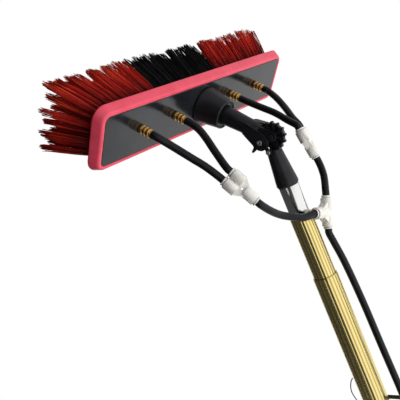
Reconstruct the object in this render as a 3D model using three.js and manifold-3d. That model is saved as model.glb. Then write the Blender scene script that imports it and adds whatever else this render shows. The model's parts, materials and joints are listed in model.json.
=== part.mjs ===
// Window cleaning pole system: a two-section telescopic pole, a tilting brush head and its water hoses.
// Millimetres, +Z up. The pole axis is Z, the butt rests at the origin, X runs along the brush.
import * as THREE from 'three';
import Module from 'manifold-3d';
import { mergeVertices } from 'three/addons/utils/BufferGeometryUtils.js';

const wasm = await Module();
wasm.setup();

// ---- driving dimensions ----
const GAP = 0.3;
const JOINT_Z = 1150;                 // height of the point where pole axis and neck axis cross
const TILT = THREE.MathUtils.degToRad(47.7);
const NECK_REACH = 86.2;              // from the block's face to the joint, along the neck

const BLOCK = { length: 315.4, height: 52, depth: 15, corner: 6 };
const BUMPER = { width: 8.3, depth: 10.5, lip: 2.5, edge: 4.6, edgeDrop: 2 };
const BRISTLE_TRIM = 48;
const FITTING_U = [-106.4, -52.4, 52.4, 106.4];
const FITTING_V = 0.8;
const BARB_LENGTH = 14.4;

const HOSE_R = 4;
const BARREL_R = 6.4;                 // push-fit connector barrel
const COLLET_TRAVEL_GAP = 1.2;
const BORE_DEPTH = 8;

const OUTER_TUBE = { radius: 14, wall: 1.0, bottom: 4, top: JOINT_Z - 163.5 };
const INNER_TUBE = { radius: 12.7, wall: 1.0, bottom: 110, top: JOINT_Z - 90 };
const SILVER_R = 11.3;
const FLUTES = 20;
const FLUTE_DEPTH = 0.35;

const HINGE = [-6, -1.1];             // (y, z) from the joint point, like the two pivots below
const TRIGGER_PIVOT = [7.1, -2.7];
const STRIP_BOLT = [1.1, -15.4];
const WHEEL = {
  tip: 15.6, root: 13.8, rim: 11.8, hub: 4.4,
  teeth: 13, pockets: 8, solidPocket: 6,
  x0: -2.5, x1: 1.5,
};
const FAR_LUG_X = [1.8, 9];
const NEAR_LUG_X = [-5.6, -2.8];
const BRACKET_X = [-9, -6];

const COIL = { x: 6, y: -125, mean: 70, width: 40, bottom: 1.6, top: 33.6 };

// ---- colours ----
const PAINT = {
  gloss_black: [0x15161a, 0.08, 0],
  black: [0x1b1c20, 0.5, 0],
  rubber_red: [0xe0607c, 0.6, 0],
  bristle_red: [0xb02a22, 0.85, 0],
  bristle_black: [0x141416, 0.85, 0],
  brass: [0xb98a3c, 0.3, 1],
  hose: [0x17181c, 0.35, 0],
  white: [0xece8e0, 0.45, 0],
  steel: [0xb9bcc0, 0.25, 1],
  silver: [0xd6d8db, 0.12, 1],
  gold: [0xd9b95a, 0.28, 1],
  grip: [0x202124, 0.9, 0],
};

const group = new THREE.Group();
group.name = 'window_cleaning_pole_system';

// ---- helpers ----
function closed(geometry) {
  const bare = new THREE.BufferGeometry();
  bare.setAttribute('position', geometry.getAttribute('position').clone());
  if (geometry.index) bare.setIndex(geometry.index.clone());
  const merged = mergeVertices(bare, 1e-4);
  const p = merged.getAttribute('position');
  const kept = [];
  const [a, b, c] = [new THREE.Vector3(), new THREE.Vector3(), new THREE.Vector3()];
  let volume = 0;
  for (let i = 0; i < merged.index.count; i += 3) {
    const t = [0, 1, 2].map((k) => merged.index.getX(i + k));
    if (t[0] === t[1] || t[1] === t[2] || t[0] === t[2]) continue;
    kept.push(t);
    a.fromBufferAttribute(p, t[0]);
    b.fromBufferAttribute(p, t[1]);
    c.fromBufferAttribute(p, t[2]);
    volume += a.dot(b.cross(c));
  }
  merged.setIndex(kept.flatMap((t) => (volume < 0 ? [t[0], t[2], t[1]] : t)));
  return merged;
}

function toManifold(geometry) {
  const g = closed(geometry);
  const vertProperties = new Float32Array(g.getAttribute('position').array);
  const triVerts = new Uint32Array(g.index.array);
  return new wasm.Manifold(new wasm.Mesh({ numProp: 3, vertProperties, triVerts }));
}

function fromManifold(solid) {
  const mesh = solid.getMesh();
  const g = new THREE.BufferGeometry();
  const xyz = [];
  for (let i = 0; i < mesh.numVert; i += 1) {
    for (let k = 0; k < 3; k += 1) xyz.push(mesh.vertProperties[i * mesh.numProp + k]);
  }
  g.setAttribute('position', new THREE.Float32BufferAttribute(xyz, 3));
  g.setIndex(Array.from(mesh.triVerts));
  return g;
}

function join(base, added = [], cut = []) {
  let solid = toManifold(base);
  for (const g of added) solid = solid.add(toManifold(g));
  for (const g of cut) solid = solid.subtract(toManifold(g));
  return fromManifold(solid);
}

function place(name, paint, geometry, matrix = null) {
  const g = closed(geometry);
  if (matrix) g.applyMatrix4(matrix);
  g.computeVertexNormals();
  const [color, roughness, metalness] = PAINT[paint];
  const mesh = new THREE.Mesh(g, new THREE.MeshStandardMaterial({ color, roughness, metalness }));
  mesh.name = name;
  group.add(mesh);
}

// Turns a profile of [radius, height] about Z.
function lathe(profile, segments = 24) {
  const points = profile.map(([r, h]) => new THREE.Vector2(r, h));
  return new THREE.LatheGeometry(points, segments).rotateX(Math.PI / 2);
}

function ring(inner, outer, z0, z1, segments = 24) {
  return lathe([[inner, z0], [outer, z0], [outer, z1], [inner, z1], [inner, z0]], segments);
}

function rod(radius, z0, z1, segments = 24) {
  return lathe([[0, z0], [radius, z0], [radius, z1], [0, z1]], segments);
}

// Same, along X at (y, z) from the joint point.
function alongX(geometry, [y, z] = [0, 0]) {
  return geometry.rotateY(Math.PI / 2).translate(0, y, z + JOINT_Z);
}

function extrude(shape, depth) {
  return new THREE.ExtrudeGeometry(shape, { depth, bevelEnabled: false, curveSegments: 6 });
}

// A shape drawn in (y, z) from the joint point, thick from x0 to x1.
function slabYZ(shape, x0, x1) {
  const basis = new THREE.Matrix4().makeBasis(
    new THREE.Vector3(0, 1, 0),
    new THREE.Vector3(0, 0, 1),
    new THREE.Vector3(1, 0, 0),
  );
  return extrude(shape, x1 - x0).applyMatrix4(basis).translate(x0, 0, JOINT_Z);
}

function box(x0, x1, y0, y1, z0, z1) {
  const g = new THREE.BoxGeometry(x1 - x0, y1 - y0, z1 - z0);
  return g.translate((x0 + x1) / 2, (y0 + y1) / 2, (z0 + z1) / 2);
}

// The convex outline round a list of circles [x, y, r].
function hullPoints(circles, steps = 20) {
  const pts = [];
  for (const [x, y, r] of circles) {
    for (let i = 0; i < steps; i += 1) {
      const a = (i / steps) * 2 * Math.PI;
      pts.push(new THREE.Vector2(x + r * Math.cos(a), y + r * Math.sin(a)));
    }
  }
  pts.sort((p, q) => p.x - q.x || p.y - q.y);
  const half = (list) => {
    const out = [];
    for (const p of list) {
      while (out.length > 1) {
        const [a, b] = out.slice(-2);
        if ((b.x - a.x) * (p.y - a.y) - (b.y - a.y) * (p.x - a.x) > 1e-6) break;
        out.pop();
      }
      out.push(p);
    }
    out.pop();
    return out;
  };
  return [...half(pts), ...half([...pts].reverse())];
}

function hull(circles, steps) {
  return new THREE.Shape(hullPoints(circles, steps));
}

function circleShape(radius, sides) {
  return hull([[0, 0, radius]], sides);
}

// A round cord of the given radius through points, as one closed tube.
function tube(points, radius, steps, sides = 10, denseEnds = 0) {
  const path = new THREE.CatmullRomCurve3(points, false, 'centripetal');
  path.arcLengthDivisions = 600;
  const warp = (u) => u - (denseEnds * Math.sin(2 * Math.PI * u)) / (2 * Math.PI);
  const [pointAt, tangentAt] = [path.getPointAt.bind(path), path.getTangentAt.bind(path)];
  path.getPointAt = (u, target) => pointAt(warp(u), target);
  path.getTangentAt = (u, target) => tangentAt(warp(u), target);
  const options = { steps, extrudePath: path, bevelEnabled: false };
  return new THREE.ExtrudeGeometry(circleShape(radius, sides), options);
}

// Loops round the block's rounded outline, one loop for each [offset, height] of the profile.
function rimSweep(profile) {
  const perCorner = 4;
  const xyz = [];
  const loops = profile.map(([offset, height]) => {
    const loop = [];
    for (let corner = 0; corner < 4; corner += 1) {
      const sx = corner === 0 || corner === 3 ? 1 : -1;
      const sy = corner < 2 ? 1 : -1;
      const cx = sx * (BLOCK.length / 2 - BLOCK.corner);
      const cy = sy * (BLOCK.height / 2 - BLOCK.corner);
      for (let k = 0; k <= perCorner; k += 1) {
        const a = ((corner + k / perCorner) * Math.PI) / 2;
        const r = BLOCK.corner + offset;
        loop.push(xyz.length / 3);
        xyz.push(cx + r * Math.cos(a), cy + r * Math.sin(a), height);
      }
    }
    return loop;
  });
  const index = [];
  const count = loops[0].length;
  for (let i = 0; i < loops.length; i += 1) {
    const a = loops[i];
    const b = loops[(i + 1) % loops.length];
    for (let k = 0; k < count; k += 1) {
      const n = (k + 1) % count;
      index.push(a[k], a[n], b[k], a[n], b[n], b[k]);
    }
  }
  const g = new THREE.BufferGeometry();
  g.setAttribute('position', new THREE.Float32BufferAttribute(xyz, 3));
  g.setIndex(index);
  return g;
}

function roundedBlock(offset, z0, z1) {
  const w = BLOCK.length / 2 + offset;
  const h = BLOCK.height / 2 + offset;
  const r = BLOCK.corner + offset;
  const corners = [[w - r, h - r, r], [r - w, h - r, r], [r - w, r - h, r], [w - r, r - h, r]];
  return extrude(hull(corners, 16), z1 - z0).translate(0, 0, z0);
}

function fromJoint(x, y, z) {
  return new THREE.Vector3(x, y, z + JOINT_Z);
}

// ---- head frame: u along the brush, v up its face, n from the face towards the joint ----
const U = new THREE.Vector3(1, 0, 0);
const V = new THREE.Vector3(0, -Math.cos(TILT), Math.sin(TILT));
const N = new THREE.Vector3(0, -Math.sin(TILT), -Math.cos(TILT));
const faceCentre = fromJoint(0, 0, 0).addScaledVector(N, -NECK_REACH);
const HEAD = new THREE.Matrix4().makeBasis(U, V, N).setPosition(faceCentre);
const inHead = (u, v, n) => new THREE.Vector3(u, v, n).applyMatrix4(HEAD);

// ---- brush block, bumper, bristles ----
const holes = FITTING_U.map((u) => rod(3.4, -BLOCK.depth - 1, 1, 14).translate(u, FITTING_V, 0));
const block = join(roundedBlock(0, -BLOCK.depth, 0), [], [...holes, rod(4, -19, 1)]);
place('brush_block', 'gloss_black', block, HEAD);

const bumperProfile = [
  [GAP, -BUMPER.depth],
  [BUMPER.width - 0.8, -BUMPER.depth],
  [BUMPER.width, -BUMPER.depth + 1],
  [BUMPER.edge, -BUMPER.edgeDrop],
  [BUMPER.lip, 0],
  [GAP, 0],
];
place('bumper', 'rubber_red', rimSweep(bumperProfile), HEAD);

// A flared solid between the block's back and the trim line; each end is [u at the block, u at the trim].
function bristleGroup(start, end) {
  const root = -BLOCK.depth - GAP;
  const trim = root - BRISTLE_TRIM;
  const g = new THREE.BoxGeometry(1, 1, 1);
  const p = g.getAttribute('position');
  for (let i = 0; i < p.count; i += 1) {
    const atTrim = p.getZ(i) < 0;
    const side = p.getX(i) < 0 ? start : end;
    const v = p.getY(i) < 0 ? [-23, -33] : [23, 41];
    p.setXYZ(i, side[atTrim ? 1 : 0], v[atTrim ? 1 : 0], atTrim ? trim : root);
  }
  const clear = [...FITTING_U, 0].map((u, i) => {
    return rod(i < 4 ? 5.2 : 8, root - (i < 4 ? 9 : 6), root + 2, 14).translate(u, i < 4 ? FITTING_V : 0, 0);
  });
  return join(g, [], clear);
}
place('bristles_left', 'bristle_red', bristleGroup([-154, -182], [-64, -53]), HEAD);
place('bristles_centre', 'bristle_black', bristleGroup([-63.6, -52.6], [40.6, 50.6]), HEAD);
place('bristles_right', 'bristle_red', bristleGroup([41, 51], [154, 177]), HEAD);

// ---- water fittings ----
const barbProfile = [
  [0, -8.5],
  [3.1, -8.5],
  [3.1, GAP],
  [4.9, GAP],
  [4.9, 3.4],
  [3.7, 3.6],
  [3.7, 5.2],
  [5.0, 5.6],
  [5.0, 7.6],
  [3.9, 8],
  [3.9, 9.4],
  [5.1, 9.8],
  [5.1, 11.8],
  [4.2, 12.2],
  [4.0, BARB_LENGTH - GAP],
  [0, BARB_LENGTH - GAP],
];
const jetProfile = [
  [0, -BLOCK.depth - 7.5],
  [1.2, -BLOCK.depth - 7.5],
  [4.4, -BLOCK.depth - 5],
  [4.6, -BLOCK.depth - GAP],
  [3.1, -BLOCK.depth - GAP],
  [3.1, -8.8],
  [0, -8.8],
];
FITTING_U.forEach((u, i) => {
  place(`barb_fitting_${i + 1}`, 'brass', lathe(barbProfile, 12).translate(u, FITTING_V, 0), HEAD);
  place(`jet_nozzle_${i + 1}`, 'brass', lathe(jetProfile, 12).translate(u, FITTING_V, 0), HEAD);
});

// ---- hub, neck and ratchet wheel ----
const hubProfile = [
  [10.95, GAP],
  [20.6, GAP],
  [21.0, 1.2],
  [20.4, 3],
  [16.6, 27.6],
  [16.9, 29],
  [15.6, 30.4],
  [14.4, 30.4],
  [14.0, 28.6],
  [10.95, 28.6],
  [10.95, GAP],
];
place('hub_socket', 'black', lathe(hubProfile, 28), HEAD);

const boltHead = rod(6, -BLOCK.depth - 4.3, -BLOCK.depth - GAP, 6);
place('hub_bolt', 'steel', join(boltHead, [rod(3.6, -BLOCK.depth - 1, 12, 14)]), HEAD);

// (y, z) from the joint point of a point on the head's middle plane
const headYZ = (v, n) => {
  const p = inHead(0, v, n);
  return [p.y, p.z - JOINT_Z];
};
const neckProfile = [[0, 0.6], [10.6, 0.6], [10.6, 32], [9.0, 67], [9.0, 76], [0, 76]];
const farLug = hull([[...headYZ(0, 66), 8.4], [...HINGE, 9.4]]);
const bracket = hull([[...headYZ(-1, 64), 7], [...TRIGGER_PIVOT, 9.4]]);
const wheelRoom = alongX(rod(WHEEL.tip + 0.5, -9.3, WHEEL.x1 + GAP, 40), HINGE);
const leverRoom = alongX(rod(4.8, NEAR_LUG_X[0] - 1, NEAR_LUG_X[1] + 1, 20), TRIGGER_PIVOT);
const nearLugShape = hull([[...headYZ(0, 68), 7.4], [...HINGE, 5.8]]);
const nearLug = join(slabYZ(nearLugShape, ...NEAR_LUG_X), [], [leverRoom]);
const neckTube = join(lathe(neckProfile, 28).applyMatrix4(HEAD), [], [wheelRoom]);
place('neck_arm', 'black', join(
  neckTube,
  [slabYZ(farLug, ...FAR_LUG_X), nearLug, slabYZ(bracket, ...BRACKET_X)],
  [
    alongX(rod(2.75, -14, 14, 16), HINGE),
    alongX(rod(2.1, -14, -5, 14), TRIGGER_PIVOT),
    rod(4, 0, 14, 14).applyMatrix4(HEAD),
  ],
));

// Toothed wheel with blind pockets between its spokes, and the stem that stands in the sleeve.
function wheelPoint(r, a) {
  return new THREE.Vector2(HINGE[0] + r * Math.cos(a), HINGE[1] + r * Math.sin(a));
}
function toothedDisc() {
  const outline = [];
  const pitch = (2 * Math.PI) / WHEEL.teeth;
  for (let i = 0; i < WHEEL.teeth; i += 1) {
    const a = i * pitch + 0.1;
    outline.push(wheelPoint(WHEEL.root, a));
    outline.push(wheelPoint(WHEEL.root, a + pitch * 0.5));
    outline.push(wheelPoint(WHEEL.tip, a + pitch * 0.6));
    outline.push(wheelPoint(WHEEL.tip, a + pitch * 0.88));
  }
  return new THREE.Shape(outline);
}
function pocket(i) {
  const step = (2 * Math.PI) / WHEEL.pockets;
  const mid = i * step + 0.15;
  const reach = step / 2 - 0.13;
  return new THREE.Shape([
    wheelPoint(WHEEL.hub, mid - reach * 0.45),
    wheelPoint(WHEEL.rim, mid - reach),
    wheelPoint(WHEEL.rim + 0.5, mid),
    wheelPoint(WHEEL.rim, mid + reach),
    wheelPoint(WHEEL.hub, mid + reach * 0.45),
  ]);
}
const pockets = [];
for (let i = 0; i < WHEEL.pockets; i += 1) {
  if (i !== WHEEL.solidPocket) pockets.push(slabYZ(pocket(i), WHEEL.x0 - 1, WHEEL.x1 - 1.2));
}
const stem = hull([[HINGE[0] + 0.8, HINGE[1] - 11, 4.4], [0, -22, 4.2], [0, -30, 4.2]], 16);
place('ratchet_wheel', 'black', join(
  slabYZ(toothedDisc(), WHEEL.x0, WHEEL.x1),
  [slabYZ(stem, WHEEL.x0, WHEEL.x1)],
  [...pockets, alongX(rod(2.75, -5, 14, 16), HINGE)],
));

// ---- sleeve: a slotted head holds the wheel's stem, a bore takes the silver tube ----
const sleeveProfile = [
  [0, -14.6],
  [6.4, -14.6],
  [8.3, -16.4],
  [8.8, -20.8],
  [9.2, -25],
  [9.9, -31],
  [11.0, -41],
  [12.2, -51.5],
  [12.4, -54.5],
  [11.4, -56.8],
  [9.0, -56.8],
  [9.0, -38],
  [0, -38],
];
const stemRoom = hull([[HINGE[0] + 0.8, HINGE[1] - 11, 4.75], [0, -22, 4.55], [0, -30.4, 4.55]], 16);
place('sleeve', 'black', join(
  lathe(sleeveProfile, 32).translate(0, 0, JOINT_Z),
  [alongX(rod(2.6, -9, -4, 16), STRIP_BOLT)],
  [
    alongX(rod(1.9, -14, -4.4, 12), STRIP_BOLT),
    slabYZ(stemRoom, WHEEL.x0 - GAP, WHEEL.x1 + GAP),
    alongX(rod(WHEEL.tip + 0.4, WHEEL.x0 - GAP, WHEEL.x1 + GAP, 40), HINGE),
  ],
));

// ---- hinge bolt and nut, trigger, side strip and their bolts ----
const hingeBolt = join(rod(3.0, -7.2, -5.9, 16), [rod(2.4, -6.4, 11.6, 14)], [rod(1.3, -8, -6.5, 6)]);
place('pivot_bolt', 'black', alongX(hingeBolt, HINGE));
place('pivot_nut', 'steel', alongX(join(rod(3.9, 9.3, 11.5, 6), [], [rod(2.7, 8, 14, 14)]), HINGE));

const lever = [
  hull([[...TRIGGER_PIVOT, 4.4], [16.6, -5.6, 3.0], [9.4, -9.4, 2.0]], 16),
  hull([[17.4, -6.8, 2.2], [22.6, -9.8, 1.2]], 16),
];
const [leverBase, ...leverArms] = lever.map((s) => slabYZ(s, -5.7, -3.1));
const pawl = slabYZ(hull([[9.4, -9.9, 1.6]], 12), -4, 2.4);
const triggerHole = alongX(rod(2.2, -14, 3, 14), TRIGGER_PIVOT);
place('trigger', 'black', join(leverBase, [...leverArms, pawl], [triggerHole]));
const triggerBolt = join(rod(3.1, -11, -9.3, 16), [rod(1.8, -9.6, -3.2, 12)], [rod(1.4, -12, -10, 6)]);
place('trigger_bolt', 'steel', alongX(triggerBolt, TRIGGER_PIVOT));
const stripShape = hull([[...STRIP_BOLT, 2.7], [STRIP_BOLT[0] + 0.7, STRIP_BOLT[1] + 8.9, 2.0]], 14);
const stripHole = alongX(rod(1.9, -14, -5, 12), STRIP_BOLT);
place('side_strip', 'black', join(slabYZ(stripShape, -10.2, -9.3), [], [stripHole]));
const stripBolt = join(rod(2.6, -11.6, -10.5, 16), [rod(1.5, -10.8, -4.8, 12)], [rod(1.0, -13, -11, 6)]);
place('strip_bolt', 'steel', alongX(stripBolt, STRIP_BOLT));

const silverProfile = [
  [7, -125],
  [SILVER_R, -125],
  [SILVER_R, -57.1],
  [8.7, -57.1],
  [8.7, -38.4],
  [7, -38.4],
  [7, -125],
];
place('silver_tube', 'silver', lathe(silverProfile, 36).translate(0, 0, JOINT_Z));

function flutedTube({ radius, wall, bottom, top }) {
  const points = [];
  for (let i = 0; i < FLUTES; i += 1) {
    const a = (i / FLUTES) * 2 * Math.PI;
    const pitch = (2 * Math.PI) / FLUTES;
    points.push(new THREE.Vector2(radius * Math.cos(a), radius * Math.sin(a)));
    points.push(new THREE.Vector2(radius * Math.cos(a + pitch * 0.55), radius * Math.sin(a + pitch * 0.55)));
    const groove = radius - FLUTE_DEPTH;
    points.push(new THREE.Vector2(groove * Math.cos(a + pitch * 0.78), groove * Math.sin(a + pitch * 0.78)));
  }
  const shape = new THREE.Shape(points);
  const bore = hullPoints([[0, 0, radius - wall]], 36);
  shape.holes.push(new THREE.Path(bore.reverse()));
  return extrude(shape, top - bottom).translate(0, 0, bottom);
}
place('inner_tube', 'gold', flutedTube(INNER_TUBE));
place('outer_tube', 'gold', flutedTube(OUTER_TUBE));

const lockBottom = INNER_TUBE.bottom;
const plugProfile = [
  [0, lockBottom - 44],
  [7.6, lockBottom - 44],
  [7.6, lockBottom - 38.3],
  [5, lockBottom - 38.3],
  [5, lockBottom - 6],
  [12.4, lockBottom - 6],
  [12.4, lockBottom - GAP],
  [11.3, lockBottom - GAP],
  [11.3, lockBottom + 30],
  [0, lockBottom + 30],
];
place('lock_plug', 'black', lathe(plugProfile, 24));
const collar = ring(5.4, 12.6, lockBottom - 38, lockBottom - 6.3, 24);
const slit = box(0, 20, -1, 1, lockBottom - 60, lockBottom + 10);
place('lock_collar', 'white', join(collar, [], [slit]));

const gripProfile = [
  [OUTER_TUBE.radius + GAP, 40],
  [16.5, 40],
  [17.6, 43],
  [17.6, 297],
  [16.5, 300],
  [OUTER_TUBE.radius + GAP, 300],
  [OUTER_TUBE.radius + GAP, 40],
];
place('grip', 'grip', lathe(gripProfile, 28));
const capProfile = [
  [0, 0],
  [15.6, 0],
  [16.6, 1.2],
  [16.6, 24],
  [14.4, 24],
  [14.4, 3.6],
  [12.6, 3.6],
  [12.6, 18],
  [0, 18],
];
place('butt_cap', 'black', lathe(capProfile, 28));

// ---- push-fit connectors ----
// A port is cut into a body at its face; its collet stands in it and a hose runs through the collet.
const port = (x, z, dir) => ({ x, z, dir });
function portBore({ x, z, dir }) {
  const g = dir > 0 ? rod(5.2, -BORE_DEPTH, 1, 16) : rod(5.2, -1, BORE_DEPTH, 16);
  return g.translate(x, 0, z);
}
const colletProfile = [
  [4.35, -6.6],
  [4.9, -6.6],
  [4.9, COLLET_TRAVEL_GAP],
  [5.35, COLLET_TRAVEL_GAP],
  [5.35, COLLET_TRAVEL_GAP + 1.5],
  [4.35, COLLET_TRAVEL_GAP + 1.5],
  [4.35, -6.6],
];
function collet({ x, z, dir }) {
  const g = lathe(colletProfile, 16);
  if (dir < 0) g.rotateX(Math.PI);
  return g.translate(x, 0, z);
}
const FACE_TO_TIP = COLLET_TRAVEL_GAP + 1.5;

// Frame with its z axis from the outlet to the inlets; side is the way from one inlet to the next.
function frameBetween(outlet, inlet, side) {
  const z = inlet.clone().sub(outlet).normalize();
  const x = side.clone().addScaledVector(z, -side.dot(z)).normalize();
  const y = z.clone().cross(x);
  const middle = inlet.clone().add(outlet).multiplyScalar(0.5);
  return new THREE.Matrix4().makeBasis(x, y, z).setPosition(middle);
}

const PAIR = 5.6;                     // half the spacing of a Y connector's inlets
function yConnector(side, half, frame) {
  const face = half - FACE_TO_TIP;
  const ports = [port(-PAIR, face, 1), port(PAIR, face, 1), port(0, -face, -1)];
  const barrel = (p) => {
    const g = p.dir > 0 ? rod(BARREL_R, -13, 0, 18) : rod(BARREL_R, 0, 13.5, 18);
    return g.translate(p.x, 0, p.z);
  };
  const web = new THREE.Shape([
    new THREE.Vector2(-10.6, 9),
    new THREE.Vector2(-10.2, 2),
    new THREE.Vector2(-5.2, -6),
    new THREE.Vector2(5.2, -6),
    new THREE.Vector2(10.2, 2),
    new THREE.Vector2(10.6, 9),
  ]);
  const plate = extrude(web, 8.4).translate(0, 0, -4.2).rotateX(Math.PI / 2);
  const eye = rod(1.3, -6, 6, 10).rotateX(Math.PI / 2);
  const body = join(plate, ports.map(barrel), [...ports.map(portBore), eye]);
  place(`y_connector_${side}`, 'white', body, frame);
  const names = ['in_1', 'in_2', 'out'];
  ports.forEach((p, i) => place(`collet_${side}_${names[i]}`, 'white', collet(p), frame));
  // For each port: where its hose ends inside, where it leaves the collet, and a point further along it.
  return ports.map((p) => [-BORE_DEPTH + 0.4, FACE_TO_TIP, FACE_TO_TIP + 4].map((d) => {
    return new THREE.Vector3(p.x, 0, p.z + p.dir * d).applyMatrix4(frame);
  }));
}

const leftIn = fromJoint(-76.7, 10.4, -16.3);
const leftOut = fromJoint(-68.6, -5.4, -50.7);
const leftSide = new THREE.Vector3(0.63, -0.62, 0.45);
const leftHalf = leftIn.distanceTo(leftOut) / 2;
const leftPorts = yConnector('left', leftHalf, frameBetween(leftOut, leftIn, leftSide));

const rightIn = fromJoint(48.2, -10.1, -8.0);
const rightOut = fromJoint(47.3, -16.2, -44.6);
const rightSide = new THREE.Vector3(0.93, 0.33, -0.08);
const rightHalf = rightIn.distanceTo(rightOut) / 2;
const rightPorts = yConnector('right', rightHalf, frameBetween(rightOut, rightIn, rightSide));

// Tee: the run is its z axis, from the bottom port to the top one; the branch is its x axis.
const teeTop = fromJoint(23.9, -23.8, -83.4);
const teeBottom = fromJoint(13.0, -18.0, -117.2);
const teeBranch = fromJoint(-8.6, -20.6, -96);
const teeFrame = frameBetween(teeBottom, teeTop, teeBranch.clone().sub(teeTop.clone().lerp(teeBottom, 0.5)));
const teeHalf = teeTop.distanceTo(teeBottom) / 2;
const teeArm = teeBranch.distanceTo(teeTop.clone().lerp(teeBottom, 0.5));
const runFace = teeHalf - FACE_TO_TIP;
const armFace = teeArm - FACE_TO_TIP;
const turned = (g) => g.rotateY(Math.PI / 2);
const gusset = new THREE.Shape([
  new THREE.Vector2(-4, -runFace + 1),
  new THREE.Vector2(3, -runFace + 3),
  new THREE.Vector2(12.5, -5.5),
  new THREE.Vector2(12.5, 5.5),
  new THREE.Vector2(3, runFace - 3),
  new THREE.Vector2(-4, runFace - 1),
]);
place('tee_connector', 'white', join(
  rod(BARREL_R, -runFace, runFace, 18),
  [turned(rod(BARREL_R, 0, armFace, 18)), extrude(gusset, 8.4).translate(0, 0, -4.2).rotateX(Math.PI / 2)],
  [
    portBore(port(0, runFace, 1)),
    portBore(port(0, -runFace, -1)),
    turned(rod(5.2, armFace - BORE_DEPTH, armFace + 1, 16)),
  ],
), teeFrame);
place('collet_tee_top', 'white', collet(port(0, runFace, 1)), teeFrame);
place('collet_tee_bottom', 'white', collet(port(0, -runFace, -1)), teeFrame);
place('collet_tee_branch', 'white', turned(collet(port(0, armFace, 1))), teeFrame);
const teePort = (x, z) => new THREE.Vector3(x, 0, z).applyMatrix4(teeFrame);
const steps = [-BORE_DEPTH + 0.4, FACE_TO_TIP, FACE_TO_TIP + 4];
const teePorts = {
  top: steps.map((d) => teePort(0, runFace + d)),
  bottom: steps.map((d) => teePort(0, -runFace - d)),
  branch: steps.map((d) => teePort(armFace + d, 0)),
};

// ---- hoses ----
function branchHose(i, middle, portEnd, count) {
  const u = FITTING_U[i];
  const start = [BARB_LENGTH, BARB_LENGTH + 5].map((n) => inHead(u, FITTING_V, n));
  const points = [...start, ...middle.map((p) => fromJoint(...p)), ...[...portEnd].reverse()];
  place(`branch_hose_${i + 1}`, 'hose', tube(points, HOSE_R, count));
}
branchHose(0, [[-99.5, 42.5, 33], [-91.5, 31, 13.5], [-86, 23, 0]], leftPorts[0], 8);
branchHose(1, [[-55.5, 38.5, 36], [-60.3, 30, 25], [-66, 21.5, 10.5]], leftPorts[1], 7);
branchHose(2, [[50.6, 30, 31], [49, 13, 18], [45.5, -1, 5.5]], rightPorts[0], 7);
branchHose(3, [[97, 39.6, 41.4], [86.8, 27.2, 31.7], [74, 13.5, 18], [60, 0.5, 4.5]], rightPorts[1], 8);

const linkLeft = [
  ...leftPorts[2],
  fromJoint(-57, -8, -66),
  fromJoint(-45, -9, -75.5),
  fromJoint(-32, -13.5, -84),
  fromJoint(-22, -17.4, -89.5),
  ...[...teePorts.branch].reverse().slice(1),
];
place('link_hose_left', 'hose', tube(linkLeft, HOSE_R, 8));
const linkRight = [
  ...rightPorts[2],
  fromJoint(43, -19.8, -55),
  fromJoint(37.2, -22.4, -65),
  ...[...teePorts.top].reverse(),
];
place('link_hose_right', 'hose', tube(linkRight, HOSE_R, 6));

const coilPoint = (degrees, radius, z) => {
  const a = THREE.MathUtils.degToRad(degrees);
  return new THREE.Vector3(COIL.x + radius * Math.cos(a), COIL.y + radius * Math.sin(a), z);
};
const onCoil = COIL.top + HOSE_R + GAP;
const mainHose = [
  ...teePorts.bottom,
  fromJoint(12.4, -18.2, -132),
  fromJoint(13.6, -20.6, -156),
  fromJoint(13.4, -23.6, -205),
  fromJoint(9.3, -27.4, -260),
  fromJoint(8, -30, -330),
  new THREE.Vector3(8, -30, 500),
  new THREE.Vector3(8, -30, 170),
  new THREE.Vector3(9, -34, 115),
  new THREE.Vector3(15, -42, 75),
  new THREE.Vector3(28, -53, 50),
  coilPoint(56, COIL.mean, onCoil + 2),
  coilPoint(38, COIL.mean, onCoil),
];
place('main_hose', 'hose', tube(mainHose, HOSE_R, 42, 10, 0.75));

const inner = COIL.mean - COIL.width / 2;
const outer = COIL.mean + COIL.width / 2;
const coilProfile = [
  [inner, COIL.bottom + 3],
  [inner + 3, COIL.bottom],
  [outer - 3, COIL.bottom],
  [outer, COIL.bottom + 3],
  [outer, COIL.top - 3],
  [outer - 3, COIL.top],
  [inner + 3, COIL.top],
  [inner, COIL.top - 3],
  [inner, COIL.bottom + 3],
];
place('main_hose_coil', 'hose', lathe(coilProfile, 36).translate(COIL.x, COIL.y, 0));

// Straps round the coil's section.
function strapLoop(grow) {
  const [z0, z1] = [COIL.bottom - grow, COIL.top + grow];
  return extrude(new THREE.Shape([
    new THREE.Vector2(inner - grow, z0),
    new THREE.Vector2(outer + grow, z0),
    new THREE.Vector2(outer + grow, z1),
    new THREE.Vector2(inner - grow, z1),
  ]), 8).translate(0, 0, -4).rotateX(Math.PI / 2);
}
[100, 220, 340].forEach((degrees, i) => {
  const hole = strapLoop(GAP + 0.2).scale(1, 2, 1);
  const loop = join(strapLoop(1.5), [], [hole]).rotateZ(THREE.MathUtils.degToRad(degrees));
  place(`coil_tie_${i + 1}`, 'black', loop.translate(COIL.x, COIL.y, 0));
});

// The free end leaves the coil along the floor to its tap connector.
const tailAngle = 270;
const tailStart = coilPoint(tailAngle, outer + HOSE_R + GAP, HOSE_R + 0.2);
const tailWay = new THREE.Vector3(-1, 0, 0);
const CONNECTOR_R = 14;
const tailPoints = [0, 25, 60, 95].map((d, i) => {
  const p = tailStart.clone().addScaledVector(tailWay, d);
  p.z = [HOSE_R + 0.2, HOSE_R + 0.6, 10.5, CONNECTOR_R + 0.2][i];
  return p;
});
const connectorBase = tailPoints[3].clone();
const tailEnd = connectorBase.clone().addScaledVector(tailWay, 6.7);
place('main_hose_end', 'hose', tube([...tailPoints, tailEnd], HOSE_R, 6));

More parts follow.
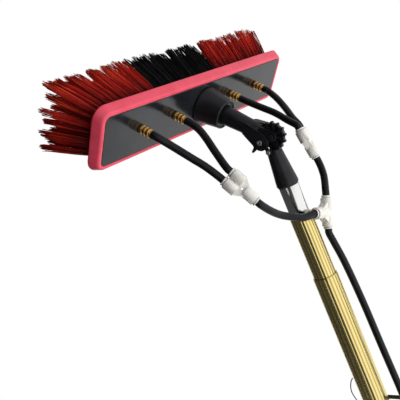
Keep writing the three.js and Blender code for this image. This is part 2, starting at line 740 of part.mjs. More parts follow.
const connectorFrame = new THREE.Matrix4().makeBasis(
  new THREE.Vector3(0, 0, 1).cross(tailWay),
  new THREE.Vector3(0, 0, 1),
  tailWay,
).setPosition(connectorBase);
const connectorBody = join(
  rod(10.4, 0, 42, 20),
  [rod(13.4, 0, 14, 20), rod(12.4, 38, 42, 20)],
  [rod(4.4, -1, 7, 16), rod(8, 20, 43, 20)],
);
place('tap_connector_body', 'black', connectorBody, connectorFrame);
place('tap_connector_collar', 'steel', ring(10.8, CONNECTOR_R, 20.5, 37.6, 20), connectorFrame);

// Cable tie that keeps the hose beside the pole, with its cut tail.
const tieZ = -330;
const tieLoop = (grow) => hullPoints([[0, 0, OUTER_TUBE.radius + grow], [8, -30, HOSE_R + grow]], 28);
const tieShape = new THREE.Shape(tieLoop(1.5));
tieShape.holes.push(new THREE.Path(tieLoop(GAP).reverse()));
const tieBand = extrude(tieShape, 4.6).translate(0, 0, tieZ + JOINT_Z);
const tieHead = box(-3, 3, 14.7, 19, tieZ + JOINT_Z - 0.6, tieZ + JOINT_Z + 5.4).rotateZ(0.68);
const tail = tube([
  fromJoint(-10.6, 13.2, tieZ + 3),
  fromJoint(-12.2, 15.4, tieZ + 14),
  fromJoint(-13.5, 17.2, tieZ + 29),
  fromJoint(-11.5, 14.6, tieZ + 39),
  fromJoint(-9.4, 11.8, tieZ + 43),
], 0.6, 10, 6);
place('hose_tie', 'black', join(tieBand, [tieHead, tail]));

export default group;
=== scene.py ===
"""Looks of the window cleaning pole system: brush head, hoses, connectors and telescopic pole."""
import json
import math
import random

import bpy
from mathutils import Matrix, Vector


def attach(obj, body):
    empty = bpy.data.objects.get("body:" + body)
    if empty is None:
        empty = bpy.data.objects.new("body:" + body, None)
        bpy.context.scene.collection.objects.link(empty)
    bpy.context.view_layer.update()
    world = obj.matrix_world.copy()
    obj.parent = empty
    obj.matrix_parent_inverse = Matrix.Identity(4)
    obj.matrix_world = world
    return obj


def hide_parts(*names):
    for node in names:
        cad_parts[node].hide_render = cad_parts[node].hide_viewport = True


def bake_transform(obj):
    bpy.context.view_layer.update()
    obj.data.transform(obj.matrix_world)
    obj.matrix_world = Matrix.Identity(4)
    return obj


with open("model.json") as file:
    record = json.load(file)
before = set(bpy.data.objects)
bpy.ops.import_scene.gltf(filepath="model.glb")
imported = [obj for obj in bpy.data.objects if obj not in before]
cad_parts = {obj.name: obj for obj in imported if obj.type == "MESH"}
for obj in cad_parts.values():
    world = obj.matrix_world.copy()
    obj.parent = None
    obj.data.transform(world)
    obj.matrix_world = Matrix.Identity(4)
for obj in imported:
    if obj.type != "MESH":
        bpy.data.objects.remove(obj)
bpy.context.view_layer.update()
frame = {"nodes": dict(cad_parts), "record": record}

NODES = frame["nodes"]
MM = 0.001
rng = random.Random(7)

# ---- driving dimensions, in millimetres as the part's own source has them ----
JOINT_Z = 1150.0
TILT = math.radians(47.7)
NECK_REACH = 86.2
BLOCK_LENGTH, BLOCK_HEIGHT, BLOCK_DEPTH, BLOCK_CORNER = 315.4, 52.0, 15.0, 6.0
BUMPER_WIDTH, BUMPER_DEPTH = 8.3, 10.5
BRISTLE_TRIM = 48.0
FITTING_U = (-106.4, -52.4, 52.4, 106.4)
FITTING_V = 0.8
BARB_LENGTH = 14.4
HOSE_R = 4.0
BORE_DEPTH = 8.0
FACE_TO_TIP = 2.7
PAIR = 5.6
COIL_X, COIL_Y, COIL_MEAN, COIL_WIDTH = 6.0, -125.0, 70.0, 40.0
COIL_BOTTOM, COIL_TOP = 1.6, 33.6
OUTER_R, INNER_R, WALL = 14.0, 12.7, 1.0
OUTER_ENDS = (4, JOINT_Z - 163.5)
INNER_ENDS = (110, JOINT_Z - 90)
FLUTES, FLUTE_DEPTH = 20, 0.35

HEAD_U = Vector((1, 0, 0))
HEAD_V = Vector((0, -math.cos(TILT), math.sin(TILT)))
HEAD_N = Vector((0, -math.sin(TILT), -math.cos(TILT)))
JOINT = Vector((0, 0, JOINT_Z))
FACE_CENTRE = JOINT - NECK_REACH * HEAD_N


def from_joint(x, y, z):
    return JOINT + Vector((x, y, z))


def in_head(u, v, n):
    """A point of the head: along its length, across it, and out of its face towards the pole."""
    return FACE_CENTRE + u * HEAD_U + v * HEAD_V + n * HEAD_N


# ---- camera ----
def make_camera():
    data = bpy.data.cameras.new("camera")
    data.lens = 52.17
    data.shift_x, data.shift_y = -0.0364, -0.0094
    data.clip_start, data.clip_end = 0.01, 100
    camera = bpy.data.objects.new("camera", data)
    camera.location = (-0.5114, -0.3472, 1.1925)
    camera.rotation_euler = [math.radians(a) for a in (82.04, 22.93, -51.75)]
    bpy.context.scene.collection.objects.link(camera)
    bpy.context.scene.camera = camera


make_camera()
bpy.context.scene.view_settings.view_transform = "Standard"


# ---- mesh helpers ----
def mesh_object(name, verts, faces, material, smooth=True):
    """A mesh from points in millimetres."""
    data = bpy.data.meshes.new(name)
    data.from_pydata([tuple(c * MM for c in v) for v in verts], [], faces)
    data.validate()
    if smooth:
        data.shade_smooth()
    obj = bpy.data.objects.new(name, data)
    bpy.context.scene.collection.objects.link(obj)
    data.materials.append(material)
    return obj


def ring_faces(count, rings, closed=True, flip=False):
    """Quads between neighbouring rings of count points; the last ring meets the first if closed."""
    faces = []
    for i in range(rings if closed else rings - 1):
        a, b = i * count, (i + 1) % rings * count
        for k in range(count):
            n = (k + 1) % count
            faces.append((a + n, a + k, b + k, b + n) if flip else (a + k, a + n, b + n, b + k))
    return faces


def catmull_rom(points, per_span=8):
    """A smooth curve through the points, with knots spaced by the square root of their distance."""
    pts = [Vector(p) for p in points]
    pts = [pts[0] * 2 - pts[1]] + pts + [pts[-1] * 2 - pts[-2]]
    out = []
    for i in range(1, len(pts) - 2):
        a, b, c, d = pts[i - 1:i + 3]
        t1 = max((b - a).length, 1e-6) ** 0.5
        t2 = t1 + max((c - b).length, 1e-6) ** 0.5
        t3 = t2 + max((d - c).length, 1e-6) ** 0.5
        for k in range(per_span):
            t = t1 + (t2 - t1) * k / per_span
            ab = a.lerp(b, t / t1)
            bc = b.lerp(c, (t - t1) / (t2 - t1))
            cd = c.lerp(d, (t - t2) / (t3 - t2))
            before = ab.lerp(bc, t / t2)
            after = bc.lerp(cd, (t - t1) / (t3 - t1))
            out.append(before.lerp(after, (t - t1) / (t2 - t1)))
    out.append(pts[-2])
    return out


def tube(name, path, radius, sides, material):
    """A closed round tube along a path, in millimetres."""
    verts = []
    way = (path[1] - path[0]).normalized()
    side = way.orthogonal().normalized()
    for i, p in enumerate(path):
        ahead = path[min(i + 1, len(path) - 1)] - path[max(i - 1, 0)]
        turn = way.rotation_difference(ahead.normalized())
        way, side = ahead.normalized(), turn @ side
        side = (side - way * side.dot(way)).normalized()
        other = way.cross(side)
        for k in range(sides):
            a = 2 * math.pi * k / sides
            verts.append(p + radius * (math.cos(a) * side + math.sin(a) * other))
    faces = ring_faces(sides, len(path), closed=False)
    faces.append(tuple(range(sides))[::-1])
    faces.append(tuple(range((len(path) - 1) * sides, len(path) * sides)))
    return mesh_object(name, verts, faces, material)


# ---- materials ----
NOISE_BAND = (0.3, 0.7)  # where most of a noise texture's values lie


def set_range(node, source, target):
    """Fills in a Map Range node's two ranges."""
    sockets = ("From Min", "From Max", "To Min", "To Max")
    for socket, number in zip(sockets, (*source, *target)):
        node.inputs[socket].default_value = number


class Look:
    """A Principled material under construction: noise-driven colour, roughness and bump."""

    def __init__(self, name, roughness=0.5, metallic=0.0, **sockets):
        self.material = bpy.data.materials.new(name)
        self.material.use_nodes = True
        self.tree = self.material.node_tree
        self.shader = self.tree.nodes["Principled BSDF"]
        self.shader.inputs["Roughness"].default_value = roughness
        self.shader.inputs["Metallic"].default_value = metallic
        for socket, value in sockets.items():
            self.shader.inputs[socket.replace("_", " ")].default_value = value
        self.coords = self.node("ShaderNodeTexCoord").outputs["Object"]

    def node(self, kind, **props):
        n = self.tree.nodes.new(kind)
        for key, value in props.items():
            setattr(n, key, value)
        return n

    def link(self, a, b):
        self.tree.links.new(a, b)

    def attribute(self, name):
        return self.node("ShaderNodeAttribute", attribute_name=name).outputs["Fac"]

    def noise(self, scale, detail=4.0, stretch=(1, 1, 1)):
        """Noise in object space, scale in waves per metre."""
        mapping = self.node("ShaderNodeMapping")
        mapping.inputs["Scale"].default_value = stretch
        self.link(self.coords, mapping.inputs["Vector"])
        n = self.node("ShaderNodeTexNoise")
        n.inputs["Scale"].default_value = scale
        n.inputs["Detail"].default_value = detail
        self.link(mapping.outputs["Vector"], n.inputs["Vector"])
        return n.outputs["Fac"]

    def span(self, value, low, high):
        """A noise spread from low to high."""
        m = self.node("ShaderNodeMapRange")
        set_range(m, NOISE_BAND, (low, high))
        self.link(value, m.inputs["Value"])
        return m.outputs["Result"]

    def colour(self, value, stops):
        """The base colour, from a value through a ramp of (place, colour) stops."""
        r = self.node("ShaderNodeValToRGB")
        elements = r.color_ramp.elements
        for i, (place, colour) in enumerate(stops):
            e = elements[i] if i < 2 else elements.new(place)
            e.position = place
            e.color = (*colour, 1)
        self.link(value, r.inputs["Fac"])
        self.link(r.outputs["Color"], self.shader.inputs["Base Color"])
        return self

    def tint(self, noise, low, high):
        """The base colour, from a noise between two colours."""
        return self.colour(noise, zip(NOISE_BAND, (low, high)))

    def rough(self, noise, low, high):
        self.link(self.span(noise, low, high), self.shader.inputs["Roughness"])
        return self

    def bump(self, value, strength, distance):
        b = self.node("ShaderNodeBump")
        b.inputs["Strength"].default_value = strength
        b.inputs["Distance"].default_value = distance
        self.link(value, b.inputs["Height"])
        self.link(b.outputs["Normal"], self.shader.inputs["Normal"])
        return self


def gloss_black():
    look = Look("gloss_black_plastic", IOR=1.56)
    look.tint(look.noise(60), (0.006, 0.007, 0.009), (0.012, 0.013, 0.016))
    look.rough(look.noise(180), 0.13, 0.19)
    return look.bump(look.noise(30, detail=1), strength=0.02, distance=0.0004).material


def black_plastic():
    look = Look("black_plastic", IOR=1.45, Specular_IOR_Level=0.5)
    look.tint(look.noise(90), (0.0045, 0.005, 0.0065), (0.010, 0.0105, 0.0135))
    look.rough(look.noise(300), 0.30, 0.44)
    return look.bump(look.noise(1600, detail=3), strength=0.18, distance=0.0002).material


def red_rubber():
    look = Look("red_rubber", IOR=1.5, Specular_IOR_Level=0.85)
    look.tint(look.noise(70), (0.62, 0.036, 0.072), (0.71, 0.056, 0.106))
    look.rough(look.noise(240), 0.38, 0.52)
    return look.bump(look.noise(1100, detail=3), strength=0.15, distance=0.0002).material


def bristle(name, dark, mid, light):
    """Filaments, coloured by the value each point carries: the filament's own tone, with painted
    shade toward the root and painted light toward the tip.
    """
    look = Look(name, roughness=0.5, IOR=1.4, Specular_IOR_Level=0.25)
    # The ramp runs from painted shade at the roots to painted light on the orange tips.
    look.colour(look.attribute("shade"), [(0.0, dark), (0.55, mid), (1.0, light)])
    return look.bump(look.noise(900, detail=2), strength=0.1, distance=0.0002).material


def brass():
    look = Look("brass", metallic=1.0)
    look.tint(look.noise(400), (0.50, 0.27, 0.075), (0.68, 0.41, 0.14))
    look.rough(look.noise(700), 0.2, 0.36)
    turned = look.noise(1800, detail=2, stretch=(1, 1, 0.2))
    return look.bump(turned, strength=0.12, distance=0.0002).material


def steel():
    look = Look("zinc_steel", metallic=1.0)
    look.tint(look.noise(300), (0.42, 0.43, 0.45), (0.66, 0.67, 0.69))
    look.rough(look.noise(900), 0.22, 0.4)
    return look.bump(look.noise(2200, detail=2), strength=0.1, distance=0.0001).material


def bright_tube():
    look = Look("bright_tube", metallic=1.0)
    streaks = look.noise(30, detail=2, stretch=(1, 1, 0.1))
    look.tint(streaks, (0.84, 0.84, 0.83), (0.93, 0.93, 0.92))
    look.rough(look.noise(120, detail=2, stretch=(1, 1, 0.06)), 0.10, 0.15)
    drawn = look.noise(700, detail=2, stretch=(1, 1, 0.02))
    return look.bump(drawn, strength=0.05, distance=0.0001).material


def gold_tube():
    """Anodised tube with a grain along it, and painted shade down in its flutes and on its
    turned-in shoulder.
    """
    look = Look("gold_anodised", metallic=1.0)
    grain = look.span(look.noise(260, detail=3, stretch=(1, 1, 0.02)), -0.12, 0.12)
    # The grain, plus the painted shade of the flutes and the shoulder, picks the colour.
    grain_and_painted_shade = look.node("ShaderNodeMath", operation="ADD")
    look.link(look.attribute("groove"), grain_and_painted_shade.inputs[0])
    look.link(grain, grain_and_painted_shade.inputs[1])
    look.colour(grain_and_painted_shade.outputs["Value"], [
        (0.0, (1.0, 0.88, 0.43)), (0.5, (0.95, 0.76, 0.27)), (1.0, (0.52, 0.33, 0.08)),
    ])
    look.rough(look.noise(420, detail=3, stretch=(1, 1, 0.03)), 0.2, 0.3)
    drawn = look.noise(1500, detail=2, stretch=(1, 1, 0.02))
    return look.bump(drawn, strength=0.12, distance=0.0002).material


def hose_black():
    look = Look("hose_black", IOR=1.42, Specular_IOR_Level=0.35)
    look.tint(look.noise(110), (0.0035, 0.004, 0.005), (0.009, 0.010, 0.012))
    look.rough(look.noise(260), 0.26, 0.40)
    return look.bump(look.noise(900, detail=3), strength=0.1, distance=0.0002).material


def white_plastic():
    look = Look("white_plastic", IOR=1.49, Subsurface_Weight=0.08, Subsurface_Scale=0.002)
    look.tint(look.noise(120), (0.71, 0.69, 0.645), (0.79, 0.77, 0.725))
    look.rough(look.noise(320), 0.26, 0.4)
    return look.bump(look.noise(1300, detail=2), strength=0.1, distance=0.0001).material


def grip_rubber():
    look = Look("grip_rubber", IOR=1.5)
    look.tint(look.noise(150), (0.012, 0.012, 0.013), (0.026, 0.026, 0.028))
    look.rough(look.noise(260), 0.72, 0.9)
    return look.bump(look.noise(420, detail=5), strength=0.5, distance=0.0008).material


LOOKS = {
    "block_gloss": gloss_black(),
    "black_plastic": black_plastic(),
    "bumper_rubber": red_rubber(),
    "bristle_red": bristle(
        "bristle_red", (0.050, 0.002, 0.001), (0.60, 0.020, 0.012), (1.0, 0.13, 0.05)),
    "bristle_black": bristle(
        "bristle_black", (0.001, 0.001, 0.001), (0.004, 0.004, 0.0045), (0.018, 0.018, 0.021)),
    "brass": brass(),
    "bolt_steel": steel(),
    "silver": bright_tube(),
    "gold": gold_tube(),
    "hose_black": hose_black(),
    "white_plastic": white_plastic(),
    "grip_rubber": grip_rubber(),
}


# ---- connectors' ports, where the hoses go ----
# How far past a port's face a hose ends, leaves the collet, and has a point that keeps it straight.
PORT_STEPS = (-BORE_DEPTH + 0.4, FACE_TO_TIP, FACE_TO_TIP + 4)


class Connector:
    """A frame between two ends: z from the outlet to the inlets, x from one inlet to the next."""

    def __init__(self, inlet, outlet, side):
        self.z = (inlet - outlet).normalized()
        self.x = (side - self.z * side.dot(self.z)).normalized()
        self.middle = (inlet + outlet) / 2
        self.face = (inlet - outlet).length / 2 - FACE_TO_TIP

    def port(self, x, sign):
        """The hose's points in a port, x off the middle line, at the inlets or (-1) the outlet."""
        return [self.middle + x * self.x + sign * (self.face + d) * self.z for d in PORT_STEPS]

    def side_port(self, reach):
        """The hose's points in a port that faces along x, reach away from the middle."""
        return [self.middle + (reach + d) * self.x for d in PORT_STEPS]


LEFT = Connector(
    from_joint(-76.7, 10.4, -16.3), from_joint(-68.6, -5.4, -50.7), Vector((0.63, -0.62, 0.45)))
RIGHT = Connector(
    from_joint(48.2, -10.1, -8.0), from_joint(47.3, -16.2, -44.6), Vector((0.93, 0.33, -0.08)))
TEE_TOP, TEE_BOTTOM = from_joint(23.9, -23.8, -83.4), from_joint(13.0, -18.0, -117.2)
TEE_BRANCH = from_joint(-8.6, -20.6, -96)
TEE_MIDDLE = (TEE_TOP + TEE_BOTTOM) / 2
TEE = Connector(TEE_TOP, TEE_BOTTOM, TEE_BRANCH - TEE_MIDDLE)
TEE_ARM = (TEE_BRANCH - TEE_MIDDLE).length - FACE_TO_TIP


# ---- hoses ----
HOSE_SIDES, MAIN_HOSE_SIDES = 20, 16
STRAIGHT_START = 5  # a branch hose leaves its barb straight for this far


def hose(name, points, node):
    """A short feed hose from one fitting to another, in place of a node of the CAD."""
    path = catmull_rom(points)
    obj = tube(name, path, HOSE_R, HOSE_SIDES, LOOKS["hose_black"])
    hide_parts(node)
    return obj


BRANCH_MIDDLES = (
    ((-99.5, 42.5, 33), (-91.5, 31, 13.5), (-86, 23, 0)),
    ((-55.5, 38.5, 36), (-60.3, 30, 25), (-66, 21.5, 10.5)),
    ((50.6, 30, 31), (49, 13, 18), (45.5, -1, 5.5)),
    ((97, 39.6, 41.4), (86.8, 27.2, 31.7), (74, 13.5, 18), (60, 0.5, 4.5)),
)
BRANCH_PORTS = (LEFT.port(-PAIR, 1), LEFT.port(PAIR, 1), RIGHT.port(-PAIR, 1), RIGHT.port(PAIR, 1))
for i, (middle, port) in enumerate(zip(BRANCH_MIDDLES, BRANCH_PORTS)):
    start = [in_head(FITTING_U[i], FITTING_V, n)
             for n in (BARB_LENGTH, BARB_LENGTH + STRAIGHT_START)]
    points = start + [from_joint(*p) for p in middle] + port[::-1]
    branch = hose(f"branch_hose_{i + 1}_soft", points, f"branch_hose_{i + 1}")
    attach(branch, "head")

LINK_LEFT = LEFT.port(0, -1) + [
    from_joint(-57, -8, -66), from_joint(-45, -9, -75.5), from_joint(-32, -13.5, -84),
    from_joint(-22, -17.4, -89.5),
] + TEE.side_port(TEE_ARM)[::-1][1:]
LINK_RIGHT = RIGHT.port(0, -1) + [
    from_joint(43, -19.8, -55), from_joint(37.2, -22.4, -65),
] + TEE.port(0, 1)[::-1]
for name, points in (("link_hose_left", LINK_LEFT), ("link_hose_right", LINK_RIGHT)):
    link = hose(f"{name}_soft", points, name)
    # The bend lies outside the ports, so that the ends stay straight in their collets.
    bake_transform(link)


COIL_STEP = 12.0  # degrees from one of the coil's points to the next
COIL_START, COIL_EXIT = 38.0, 270.0  # where the hose comes down onto the coil, and leaves it
COIL_GAP = 0.3
COIL_LAYERS, COIL_TURNS = 4, 4
COIL_CLIMB = 0.4  # turns from one layer to the next
COIL_LEAD_IN = 0.5  # turns on top, from the middle of the coil out to its edge
TAIL_DROP = 1.4
COIL_INSIDE = COIL_MEAN - COIL_WIDTH / 2 + HOSE_R
COIL_OUTSIDE = COIL_MEAN + COIL_WIDTH / 2 - HOSE_R
COIL_LANDING = COIL_TOP + HOSE_R + COIL_GAP


def coil_point(degrees, radius, z):
    a = math.radians(degrees)
    return Vector((COIL_X + radius * math.cos(a), COIL_Y + radius * math.sin(a), z))


def coil_turns():
    """The spare hose, wound clockwise: flat layers from the top down, each a spiral."""
    lane = 2 * HOSE_R
    out = []
    angle = COIL_START

    def wind(turn, r0, r1, z0, z1):
        nonlocal angle
        count = round(turn * 360 / COIL_STEP)
        for k in range(1, count + 1):
            t = k / count
            out.append(coil_point(angle - k * COIL_STEP, r0 + (r1 - r0) * t, z0 + (z1 - z0) * t))
        angle -= count * COIL_STEP

    wind(COIL_LEAD_IN, COIL_MEAN, COIL_OUTSIDE, COIL_LANDING, COIL_LANDING)
    wind(COIL_CLIMB, COIL_OUTSIDE, COIL_OUTSIDE, COIL_LANDING, COIL_LANDING - lane - COIL_GAP)
    ends = (COIL_OUTSIDE, COIL_INSIDE)
    z = COIL_TOP - HOSE_R
    for layer in range(COIL_LAYERS):
        wind(COIL_TURNS, ends[0], ends[1], z, z)
        if layer < COIL_LAYERS - 1:
            wind(COIL_CLIMB, ends[1], ends[1], z, z - lane)
            z -= lane
            ends = ends[::-1]
    return out, angle


def main_hose():
    """The supply hose: down beside the pole, coiled on the floor, then to its tap connector."""
    run = TEE.port(0, -1) + [
        from_joint(12.4, -18.2, -132), from_joint(13.6, -20.6, -156),
        from_joint(13.4, -23.6, -205), from_joint(9.3, -27.4, -260), from_joint(8, -30, -330),
        Vector((8, -30, 500)), Vector((8, -30, 170)), Vector((9, -34, 115)),
        Vector((15, -42, 75)), Vector((28, -53, 50)),
        coil_point(56, COIL_MEAN, COIL_LANDING + 2),
        coil_point(COIL_START, COIL_MEAN, COIL_LANDING),
    ]
    turns, last = coil_turns()
    goal = COIL_EXIT - 360.0 * math.ceil((COIL_EXIT - last) / 360.0)
    count = round((last - goal) / COIL_STEP)
    leaving = []
    for k in range(1, count + 1):
        t = k / count
        radius = COIL_OUTSIDE + (2 * HOSE_R + COIL_GAP) * t
        z = COIL_BOTTOM + HOSE_R - TAIL_DROP * t
        leaving.append(coil_point(last + (goal - last) * t, radius, z))
    tail = [leaving[-1] + Vector((-d, 0, z))
            for d, z in ((0, 0), (25, 0.4), (60, 6.3), (95, 10), (101.7, 10))]
    path = catmull_rom(run, 10) + turns + leaving + catmull_rom(tail, 6)[1:]
    obj = tube("main_hose_soft", path, HOSE_R, MAIN_HOSE_SIDES, LOOKS["hose_black"])
    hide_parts("main_hose", "main_hose_coil", "main_hose_end")
    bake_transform(obj)


main_hose()


# ---- bristles ----
TUFT_PITCH, TUFT_ROWS, TUFT_COLUMNS = 7.0, 7, 44
FIRST_ROW = -21.0
FIELD_END, BLACK_START, BLACK_END = 160, -63, 41  # along the block
TUFT_R, TUFT_GROWTH, GROWTH_FADE = 2.1, 3.4, 0.62  # a tuft's radius, and how it widens
DOME_TOP, DOME_DROP = 2.2, 6.5  # a tuft's tip is domed: its outer filaments are the shorter ones
FILAMENTS = 44  # in each tuft
FILAMENT_R, FILAMENT_TAPER, FILAMENT_SIDES = 0.44, 0.35, 3
FILAMENT_RINGS = (0.0, 0.4, 0.75, 1.0)
ROOT_PAINTED_SHADE, TIP_PAINTED_LIGHT = 0.25, 0.85  # painted shade and light: filaments are darker at the root than at the tip
STRAY_LIMIT = 1.7
FAN_ALONG = 1.165  # how far apart the tips are, against the roots, along the block
FAN_BELOW, FAN_ABOVE = 1.27, 1.86  # and across it, below and above its middle
LOW_ROWS, LOW_ROWS_PAINTED_SHADE = -3, 0.16  # the rows below this are this much darker: painted shade, for the less light that reaches them


def tuft_places():
    """Roots of the tufts on the block's back, in staggered rows."""
    places = []
    for row in range(TUFT_ROWS):
        v = FIRST_ROW + row * TUFT_PITCH
        columns = TUFT_COLUMNS - row % 2
        for column in range(columns):
            places.append(((column - (columns - 1) / 2) * TUFT_PITCH, v))
    return places


def stray(sigma):
    """A random offset without far outliers."""
    return max(-STRAY_LIMIT * sigma, min(STRAY_LIMIT * sigma, rng.gauss(0, sigma)))


def bristle_group(name, node, slot, low, high):
    """Fine tapered filaments, bundled in tufts that fan out towards the trim line."""
    verts, faces, tones_and_painted_light = [], [], []
    for u, v in tuft_places():
        if not low <= u < high:
            continue
        lean_u = FAN_ALONG + rng.gauss(0, 0.004)
        tip_v = FAN_BELOW * v if v < 0 else FAN_ABOVE * v
        tip_v += stray(1.3)
        tip_u = lean_u * u + stray(1.9)
        reach = BRISTLE_TRIM - 1.5 + stray(1.1)
        # Each tuft's own random tone, with painted shade taken off the low rows.
        tuft_tone_and_painted_shade = rng.uniform(-0.14, 0.14) - (LOW_ROWS_PAINTED_SHADE if v < LOW_ROWS else 0)
        for _ in range(FILAMENTS):
            a, r = rng.uniform(0, 2 * math.pi), math.sqrt(rng.random())
            spread = [stray(0.5), stray(0.5)]
            length = reach + DOME_TOP - DOME_DROP * r * r + stray(0.9)
            sag = [stray(0.7), stray(0.7)]
            shade = min(1, max(0, 0.5 + tuft_tone_and_painted_shade + rng.gauss(0, 0.2)))
            base = len(verts)
            for t in FILAMENT_RINGS:
                fan = TUFT_R + TUFT_GROWTH * t * (1 - GROWTH_FADE * t)
                cu = (u + (tip_u - u) * t + math.cos(a) * r * fan
                      + spread[0] * t + sag[0] * 4 * t * (1 - t))
                cv = (v + (tip_v - v) * t + math.sin(a) * r * fan
                      + spread[1] * t + sag[1] * 4 * t * (1 - t))
                thick = FILAMENT_R * (1 - FILAMENT_TAPER * t)
                centre = in_head(cu, cv, -BLOCK_DEPTH - length * t)
                for k in range(FILAMENT_SIDES):
                    w = a + 2 * math.pi * k / FILAMENT_SIDES
                    verts.append(centre + thick * (math.cos(w) * HEAD_U + math.sin(w) * HEAD_V))
                    # Painted shade toward the root and painted light toward the tip, on each
                    # filament's own tone.
                    tones_and_painted_light.append(min(1, shade * (ROOT_PAINTED_SHADE + TIP_PAINTED_LIGHT * t)))
            for j in range(len(FILAMENT_RINGS) - 1):
                p = base + FILAMENT_SIDES * j
                q = p + FILAMENT_SIDES
                for k in range(FILAMENT_SIDES):
                    n = (k + 1) % FILAMENT_SIDES
                    faces.append((p + k, q + k, q + n, p + n))
            end = base + FILAMENT_SIDES * (len(FILAMENT_RINGS) - 1)
            faces.append((base, base + 1, base + 2))
            faces.append((end + 2, end + 1, end))
    obj = mesh_object(name, verts, faces, LOOKS[slot])
    # The shade attribute: each filament's own tone, with painted shade and light along it.
    obj.data.attributes.new("shade", "FLOAT", "POINT").data.foreach_set("value", tones_and_painted_light)
    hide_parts(node)
    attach(obj, "head")


bristle_group("bristle_tufts_left", "bristles_left", "bristle_red", -FIELD_END, BLACK_START)
bristle_group(
    "bristle_tufts_centre", "bristles_centre", "bristle_black", BLACK_START, BLACK_END)
bristle_group("bristle_tufts_right", "bristles_right", "bristle_red", BLACK_END, FIELD_END)


# ---- bumper ----
def rim_loop(offset, height, per_corner):
    """Points round the block's outline, offset outwards, at one height."""
    out = []
    for corner in range(4):
        sx = 1 if corner in (0, 3) else -1
        sy = 1 if corner < 2 else -1
        cx = sx * (BLOCK_LENGTH / 2 - BLOCK_CORNER)
        cy = sy * (BLOCK_HEIGHT / 2 - BLOCK_CORNER)
        for k in range(per_corner + 1):
            a = (corner + k / per_corner) * math.pi / 2
            r = BLOCK_CORNER + offset
            out.append(in_head(cx + r * math.cos(a), cy + r * math.sin(a), height))
    return out


def bumper():
    """A soft rubber edge: a straight flared side, a softened bevel, a narrow lip on the face."""
    w, d = BUMPER_WIDTH, BUMPER_DEPTH
    back = [(0.3, -d), (w - 1.2, -d), (w - 0.5, -d + 0.2), (w - 0.1, -d + 0.7), (w, -d + 1.3)]
    side = [(w - 0.25, -d + 2.2), (5.05, -2.4), (4.8, -1.8), (4.4, -1.15)]
    lip = [(3.7, -0.35), (3.2, -0.05), (2.7, 0.1), (1.2, 0.12), (0.7, 0.05), (0.3, -0.3)]
    loops = [rim_loop(offset, height, 10) for offset, height in back + side + lip]
    faces = ring_faces(len(loops[0]), len(loops))
    obj = mesh_object("bumper_edge", sum(loops, []), faces, LOOKS["bumper_rubber"])
    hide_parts("bumper")
    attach(obj, "head")


bumper()


# ---- fluted tubes ----
PER_FLUTE = 8
GROOVE_POWER = 1.6  # above 1, the grooves are narrower than the ridges
SHOULDER_PAINTED_SHADE = 1.4  # how fast the painted shade on the shoulder turns to the grooves' painted shade
CUT_ANGLE = 40
# The shoulder's rings: how far below the top, and how far turned in.
SHOULDER = ((3.0, 0.0), (1.8, 0.08), (0.9, 0.25), (0.3, 0.5), (0.0, 0.72))


def fluted_tube(name, node, radius, ends, body):
    """A thin tube with shallow flutes, a round bore and a turned-in shoulder at its top."""
    bottom, top = ends
    count = FLUTES * PER_FLUTE
    loops, flute_painted_shade = [], []

    def ring(z, inner, turned_in=0.0):
        out = []
        for k in range(count):
            a = 2 * math.pi * k / count
            phase = 2 * math.pi * (k % PER_FLUTE) / PER_FLUTE
            groove = (0.5 - 0.5 * math.cos(phase)) ** GROOVE_POWER
            # Painted shade: darker in the grooves and on the turned-in shoulder.
            flute_painted_shade.append(max(groove, min(1.0, SHOULDER_PAINTED_SHADE * turned_in)))
            r = radius - turned_in - (1 - turned_in) * FLUTE_DEPTH * groove
            r = radius - WALL if inner else r
            out.append(Vector((r * math.cos(a), r * math.sin(a), z)))
        loops.append(out)

    ring(bottom, True)
    ring(bottom, False)
    ring(bottom + (top - bottom) / 2, False)
    for below, turned_in in SHOULDER:
        ring(top - below, False, turned_in)
    ring(top, True)
    obj = mesh_object(name, sum(loops, []), ring_faces(count, len(loops)), LOOKS["gold"])
    # The painted shade of the grooves and shoulder, for the gold's colour ramp.
    obj.data.attributes.new("groove", "FLOAT", "POINT").data.foreach_set("value", flute_painted_shade)
    edges = obj.modifiers.new("edges", "EDGE_SPLIT")
    edges.split_angle = math.radians(CUT_ANGLE)
    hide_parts(node)
    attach(obj, body)


fluted_tube("pole_section_lower", "outer_tube", OUTER_R, OUTER_ENDS, "pole_outer")
fluted_tube("pole_section_upper", "inner_tube", INNER_R, INNER_ENDS, "pole_inner")


# ---- block ----
def face_plate():
    """The block with a truly flat face and back, so that its gloss mirrors evenly."""
    edge = 0.5
    front = [(-edge, 0), (-0.15, -0.15), (0, -edge)]
    back = [(offset, -BLOCK_DEPTH - height) for offset, height in reversed(front)]
    loops = [rim_loop(offset, height, 8) for offset, height in front + back]
    count = len(loops[0])
    faces = [tuple(range(count))]
    faces += ring_faces(count, len(loops), closed=False, flip=True)
    faces.append(tuple(range((len(loops) - 1) * count, len(loops) * count))[::-1])
    obj = mesh_object("block_shell", sum(loops, []), faces, LOOKS["block_gloss"], smooth=False)
    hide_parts("brush_block")
    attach(obj, "head")


face_plate()


# ---- the CAD pieces that stay: smooth shading, softened edges, materials ----
SOFT_EDGE = 0.35
SHARP_ANGLE = 32
WELD_DISTANCE = 0.00001
WIDE_EDGES = {"hub_socket": 0.8, "ratchet_wheel": 0.5, "sleeve": 0.6, "neck_arm": 0.5}
SLOT_OF = {row["node"]: row["material_slot"] for row in frame["record"]["subparts"]}
REPLACED = {
    "brush_block", "bumper", "bristles_left", "bristles_centre", "bristles_right",
    "inner_tube", "outer_tube", "branch_hose_1", "branch_hose_2", "branch_hose_3",
    "branch_hose_4", "link_hose_left", "link_hose_right",
    "main_hose", "main_hose_coil", "main_hose_end",
}


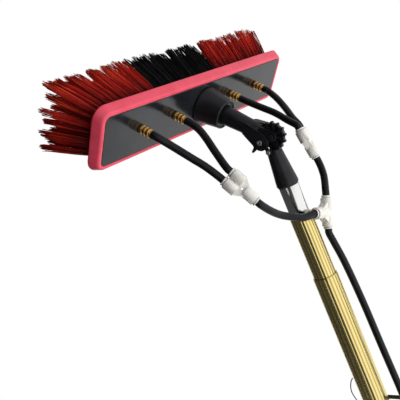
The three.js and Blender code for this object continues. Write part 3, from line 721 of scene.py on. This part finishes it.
def finish_cad(node, slot, width):
    obj = NODES[node]
    obj.data.materials.clear()
    obj.data.materials.append(LOOKS[slot])
    obj.data.shade_smooth()
    weld = obj.modifiers.new("weld", "WELD")
    weld.merge_threshold = WELD_DISTANCE
    bevel = obj.modifiers.new("soft_edges", "BEVEL")
    bevel.width = width * MM
    bevel.segments = 2
    bevel.limit_method = "ANGLE"
    bevel.angle_limit = math.radians(SHARP_ANGLE)
    bevel.harden_normals = True
    bevel.use_clamp_overlap = True


for node in sorted(set(NODES) - REPLACED):
    finish_cad(node, SLOT_OF[node], WIDE_EDGES.get(node, SOFT_EDGE))


# ---- floor, backdrop and studio light ----
DARK_SIDE = (-0.77, 0.64, 0.10)  # the way to the flag's middle
FLAG_EDGE, FLAG_LEVEL = (0.16, 0.31), 0.055  # the flag's soft edge, and how dark it is
OVERHEAD_EDGE, OVERHEAD_LEVEL = (0.1, 0.8), 0.38
FLOOR_R, FLOOR_SIDES = 1000.0, 96


def studio_world():
    """White all round, but for a dark flag on the left that shades the tubes and the gloss."""
    world = bpy.data.worlds.new("studio")
    bpy.context.scene.world = world
    world.use_nodes = True
    tree = world.node_tree

    def fade(value, source, level):
        """From full white to the level, smoothly."""
        n = tree.nodes.new("ShaderNodeMapRange")
        n.interpolation_type = "SMOOTHSTEP"
        set_range(n, source, (1.0, level))
        tree.links.new(value, n.inputs["Value"])
        return n.outputs["Result"]

    def combine(operation, a, b):
        n = tree.nodes.new("ShaderNodeMath")
        n.operation = operation
        tree.links.new(a, n.inputs[0])
        tree.links.new(b, n.inputs[1])
        return n.outputs["Value"]

    ray = tree.nodes.new("ShaderNodeTexCoord").outputs["Generated"]
    toward = tree.nodes.new("ShaderNodeVectorMath")
    toward.operation = "DOT_PRODUCT"
    length = Vector(DARK_SIDE).length
    toward.inputs[1].default_value = [c / length for c in DARK_SIDE]
    tree.links.new(ray, toward.inputs[0])
    parts = tree.nodes.new("ShaderNodeSeparateXYZ")
    tree.links.new(ray, parts.inputs["Vector"])
    light = combine("MULTIPLY", fade(toward.outputs["Value"], FLAG_EDGE, FLAG_LEVEL),
                    fade(parts.outputs["Z"], OVERHEAD_EDGE, OVERHEAD_LEVEL))
    # The backdrop itself stays white.
    seen = tree.nodes.new("ShaderNodeLightPath").outputs["Is Camera Ray"]
    background = tree.nodes["Background"]
    background.inputs["Color"].default_value = (1, 1, 1, 1)
    tree.links.new(combine("MAXIMUM", light, seen), background.inputs["Strength"])


def softbox(name, place, target, width, height, power):
    """An area light that isn't mirrored in the gloss and the metal."""
    data = bpy.data.lights.new(name, "AREA")
    data.shape = "RECTANGLE"
    data.size, data.size_y = width, height
    data.energy = power
    light = bpy.data.objects.new(name, data)
    light.location = place
    light.visible_glossy = False
    light.rotation_euler = (Vector(target) - Vector(place)).to_track_quat("-Z", "Y").to_euler()
    bpy.context.scene.collection.objects.link(light)


def studio():
    look = Look("studio_white", roughness=0.9, Emission_Color=(1, 1, 1, 1), Emission_Strength=0.3)
    look.tint(look.noise(3), (0.88, 0.88, 0.88), (0.90, 0.90, 0.90))
    turns = [2 * math.pi * k / FLOOR_SIDES for k in range(FLOOR_SIDES)]
    ring = [(FLOOR_R * math.cos(a), FLOOR_R * math.sin(a), 0) for a in turns]
    floor = mesh_object("floor", ring, [tuple(range(FLOOR_SIDES))], look.material, smooth=False)
    studio_world()
    softbox("key", (0.9, -2.2, 1.6), (0, 0, 1.05), width=1.0, height=1.8, power=7)
    softbox("top", (0.3, -0.2, 3.0), (0, 0, 1.1), width=1.2, height=1.2, power=9)
    softbox("low_front", (0.3, -1.9, 0.2), (0, 0, 1.15), width=2.0, height=1.3, power=30)


studio()
